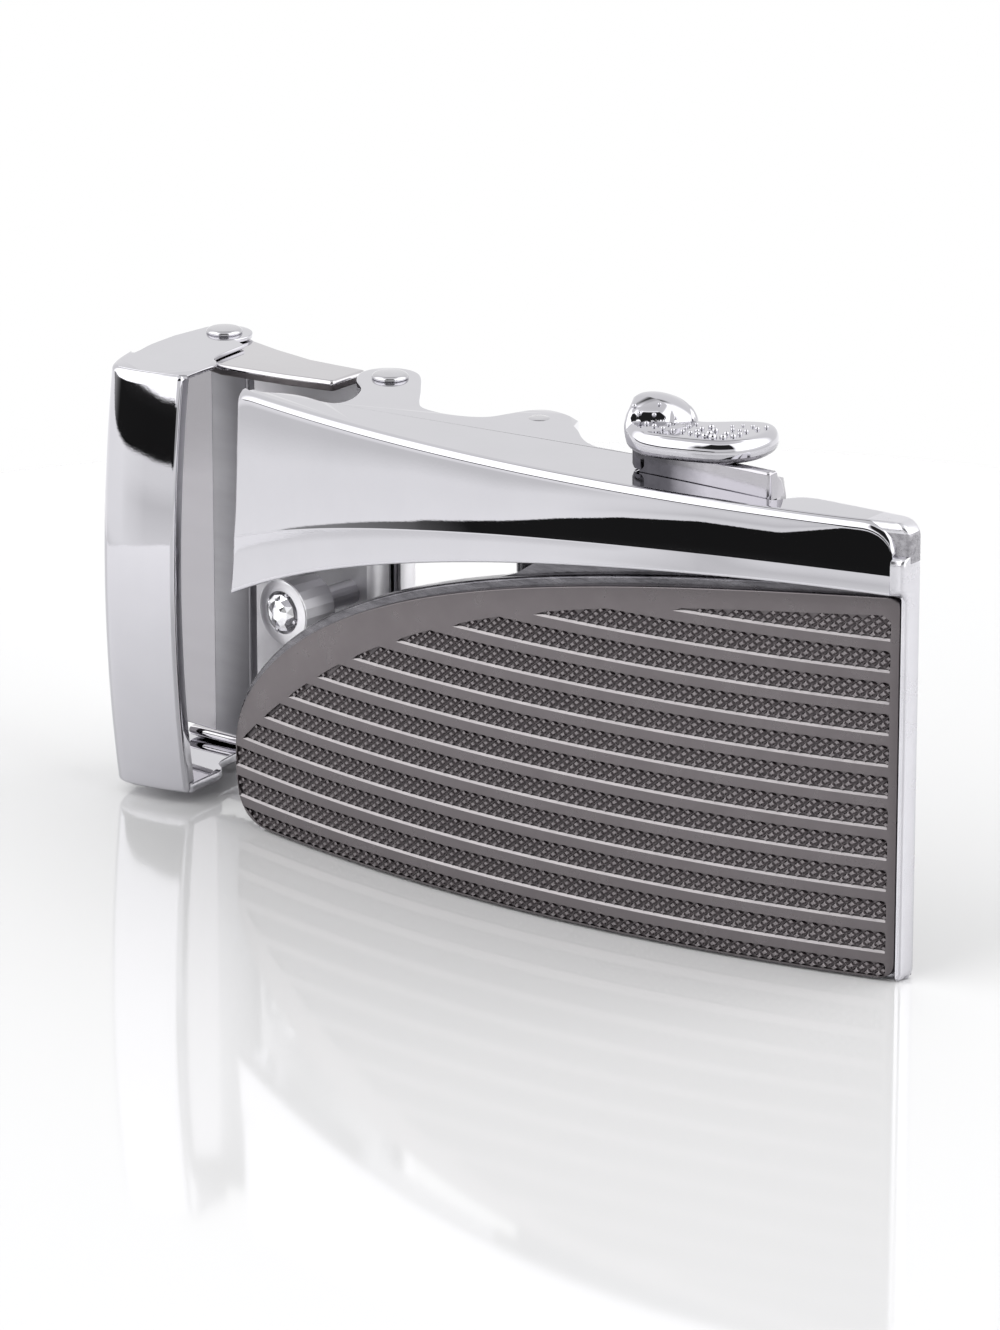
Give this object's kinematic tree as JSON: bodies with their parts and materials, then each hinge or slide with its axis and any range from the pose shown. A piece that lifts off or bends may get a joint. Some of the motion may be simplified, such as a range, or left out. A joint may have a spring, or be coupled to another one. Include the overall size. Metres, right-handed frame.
{
  "type": "sliding strap buckle",
  "caption": "Bowed chrome and gunmetal sliding buckle with a ribbed panel, hinged strap clamp, domed keeper loop and beaded thumb release lever.",
  "frame": {"origin": "centre of the bounding box in X and Y, at the bottom of the lower long edge", "axes": "+X along the buckle away from the strap clamp, +Y from the front face to the wearer, +Z across the strap"},
  "size_m": [0.0839, 0.0215, 0.0455],
  "materials": {
    "chrome": "polished",
    "gunmetal": "satin gunmetal plating",
    "nickel": "bright nickel plating",
    "steel": "bright",
    "dark_steel": "satin",
    "crystal": "polished, foiled"
  },
  "bodies": {
    "body": {"casting": "chrome", "panel": "gunmetal", "hinge_pin": "steel", "pawl_pin": "steel"},
    "clamp": {"clamp_frame": "nickel", "stud": "chrome", "crystal": "crystal", "loop_rivet_top": "steel", "loop_rivet_bottom": "steel"},
    "loop": {"loop": "chrome"},
    "pawl": {"pawl": "dark_steel", "lever_pad": "chrome"}
  },
  "joints": [
    {"name": "clamp_hinge", "type": "hinge", "parent": "body", "child": "clamp", "pos_m": [-0.01814, 0.00525, 0.01955], "axis": [0, 0, -1], "range_deg": [0, 80]},
    {"name": "loop_hinge", "type": "hinge", "parent": "clamp", "child": "loop", "pos_m": [-0.03894, 0.00825, 0.01955], "axis": [0, 0, -1], "range_deg": [0, 85]},
    {"name": "pawl_release", "type": "hinge", "parent": "body", "child": "pawl", "pos_m": [-0.00044, 0.00295, 0.01955], "axis": [0, 0, 1], "range_deg": [0, 12], "stiffness_Nm_per_rad": 0.3, "springref_deg": -8.59}
  ]
}
